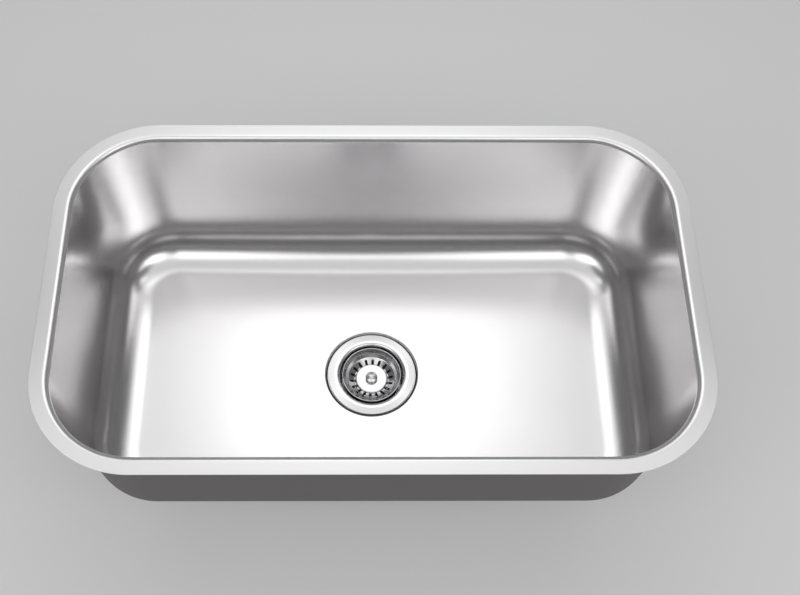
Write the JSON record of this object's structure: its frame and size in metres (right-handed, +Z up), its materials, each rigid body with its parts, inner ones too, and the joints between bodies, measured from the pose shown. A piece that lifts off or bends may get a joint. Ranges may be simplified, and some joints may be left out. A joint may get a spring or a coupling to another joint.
{
  "type": "undermount kitchen sink",
  "caption": "Undermount single-bowl stainless steel kitchen sink with a flat rim, rounded corners and a lift-out basket strainer with its drain tailpiece.",
  "frame": {"origin": "middle of the rim's top face, where the underside of the worktop rests", "axes": "+Z up out of the bowl, +X to the user's right along the long side, +Y to the back of the bowl"},
  "size_m": [0.762, 0.4572, 0.4026],
  "materials": {
    "satin_steel": "satin brushed stainless steel",
    "polished_steel": "bright polished stainless steel",
    "zinc": "dull zinc plate",
    "black_rubber": "soft matt black rubber",
    "pad_rubber": "matt grey sound pad",
    "white_plastic": "milky nylon",
    "fibre": "pressed fibre"
  },
  "bodies": {
    "sink": {"sink_bowl": "satin_steel", "bottom_pad_left": "pad_rubber", "bottom_pad_right": "pad_rubber", "strainer_body": "polished_steel", "flange_seal": "black_rubber", "rubber_gasket": "black_rubber", "friction_ring": "fibre", "locknut": "zinc", "spider": "polished_steel", "centre_post": "polished_steel", "post_nut": "zinc", "tailpiece_washer": "white_plastic", "tailpiece": "polished_steel", "coupling_nut": "zinc"},
    "clip": {"knob_clip": "polished_steel"},
    "basket": {"basket_shell": "polished_steel", "basket_knob": "polished_steel", "basket_stem": "polished_steel", "stopper_plate": "polished_steel", "stopper": "black_rubber"}
  },
  "joints": [
    {"name": "basket_lift", "type": "slide", "parent": "sink", "child": "clip", "axis": [0, 0, 1], "range_m": [0, 0.29]},
    {"name": "basket_turn", "type": "hinge", "parent": "clip", "child": "basket", "pos_m": [0, -0.0045, -0.25], "axis": [0, 0, 1], "continuous": true}
  ]
}
